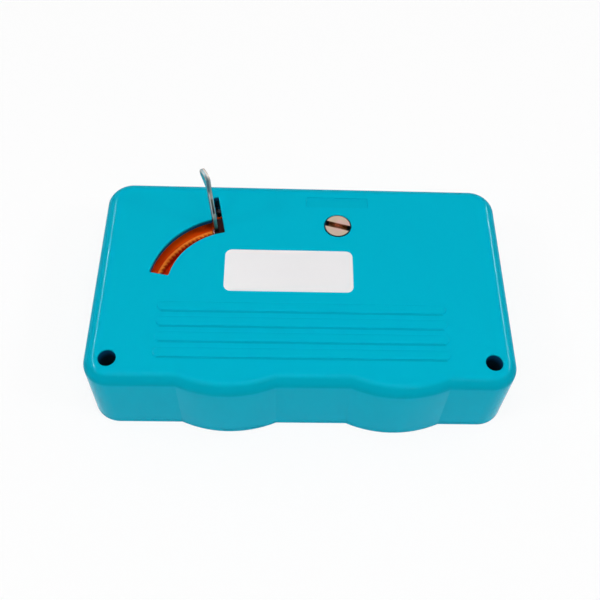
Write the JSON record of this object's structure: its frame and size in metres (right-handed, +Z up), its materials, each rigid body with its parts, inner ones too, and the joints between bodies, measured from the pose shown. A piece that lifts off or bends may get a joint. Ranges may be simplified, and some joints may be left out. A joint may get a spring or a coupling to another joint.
{
  "type": "fibre optic cleaning cassette",
  "caption": "Hand-held cleaning cassette: a lever winds a cleaning tape past shuttered windows in its back wall.",
  "frame": {"origin": "middle of the case's underside, its two front bulges left out", "axes": "+X along the length, to the right seen from above with the bulges in front; +Y to the back wall with the windows; +Z up"},
  "size_m": [0.12, 0.0722, 0.0485],
  "materials": {
    "case_plastic": "semi-gloss",
    "label_film": "satin",
    "screw_steel": "dark zinc",
    "yellow_zinc": "yellow zinc",
    "lever_steel": "satin",
    "bright_steel": "bright",
    "spring_steel": "bright",
    "orange_plastic": "semi-gloss",
    "white_plastic": "satin",
    "black_plastic": "matt",
    "tape_fabric": "woven",
    "felt": "felt",
    "pad_rubber": "matt"
  },
  "bodies": {
    "case": {"top_case": "case_plastic", "bottom_cover": "case_plastic", "label": "label_film", "corner_screws": "screw_steel", "takeup_axle": "bright_steel", "supply_axle": "bright_steel", "brake_washer": "felt", "holding_pawl_pin": "bright_steel", "holding_pawl_spring": "spring_steel", "guide_pins": "bright_steel", "tape_run": "tape_fabric", "backing_pad": "pad_rubber", "pad_carrier": "white_plastic", "spring_rod": "bright_steel", "return_spring": "spring_steel"},
    "advance_lever": {"drive_hub": "black_plastic", "sector_gear": "bright_steel", "lever": "lever_steel", "drive_pawl_pin": "bright_steel", "drive_pawl_spring": "spring_steel"},
    "takeup_reel": {"takeup_hub": "white_plastic", "ratchet_wheel": "orange_plastic", "takeup_tape": "tape_fabric"},
    "supply_reel": {"supply_spool": "white_plastic", "supply_tape": "tape_fabric"},
    "roller_left": {"left_guide_roller": "white_plastic"},
    "roller_right": {"right_guide_roller": "white_plastic"},
    "window_shutter": {"shutter": "bright_steel"},
    "lock_screw": {"coin_screw": "yellow_zinc", "screw_retainer": "spring_steel"},
    "push_pawl": {"drive_pawl": "bright_steel"},
    "stop_pawl": {"holding_pawl": "bright_steel"}
  },
  "joints": [
    {"name": "lever_swing", "type": "hinge", "parent": "case", "child": "advance_lever", "pos_m": [-0.0195, -0.00375, 0.022], "axis": [0, 0, 1], "range_deg": [0, 57], "stiffness_Nm_per_rad": 0.05, "springref_deg": -17.19},
    {"name": "takeup_spin", "type": "hinge", "parent": "case", "child": "takeup_reel", "pos_m": [-0.0195, -0.00375, 0.01], "axis": [0, 0, 1], "continuous": true},
    {"name": "supply_spin", "type": "hinge", "parent": "case", "child": "supply_reel", "pos_m": [0.02686, -0.00375, 0.01], "axis": [0, 0, 1], "continuous": true},
    {"name": "left_roller_spin", "type": "hinge", "parent": "case", "child": "roller_left", "pos_m": [-0.0495, 0.026, 0.0105], "axis": [0, 0, 1], "continuous": true},
    {"name": "right_roller_spin", "type": "hinge", "parent": "case", "child": "roller_right", "pos_m": [0.0495, 0.026, 0.0105], "axis": [0, 0, 1], "continuous": true},
    {"name": "shutter_slide", "type": "slide", "parent": "case", "child": "window_shutter", "axis": [-1, 0, 0], "range_m": [0, 0.0125], "deforming": ["return_spring"]},
    {"name": "screw_turn", "type": "hinge", "parent": "case", "child": "lock_screw", "pos_m": [0.0105, 0.01856, 0.0245], "axis": [0, 0, 1], "range_deg": [0, 90]},
    {"name": "drive_pawl_swing", "type": "hinge", "parent": "advance_lever", "child": "push_pawl", "pos_m": [-0.0054, 0.00138, 0.0201], "axis": [0, 0, 1], "range_deg": [0, 8], "stiffness_Nm_per_rad": 0.0002, "springref_deg": -17.19},
    {"name": "holding_pawl_swing", "type": "hinge", "parent": "case", "child": "stop_pawl", "pos_m": [-0.02403, -0.02065, 0.0035], "axis": [0, 0, -1], "range_deg": [0, 8], "stiffness_Nm_per_rad": 0.0002, "springref_deg": -17.19}
  ],
  "couplings": [
    {"joint": "shutter_slide", "follows": "lever_swing", "m_per_rad": 0.012},
    {"joint": "supply_spin", "follows": "takeup_spin", "ratio": 0.76191},
    {"joint": "left_roller_spin", "follows": "takeup_spin", "ratio": 4},
    {"joint": "right_roller_spin", "follows": "takeup_spin", "ratio": 4}
  ]
}
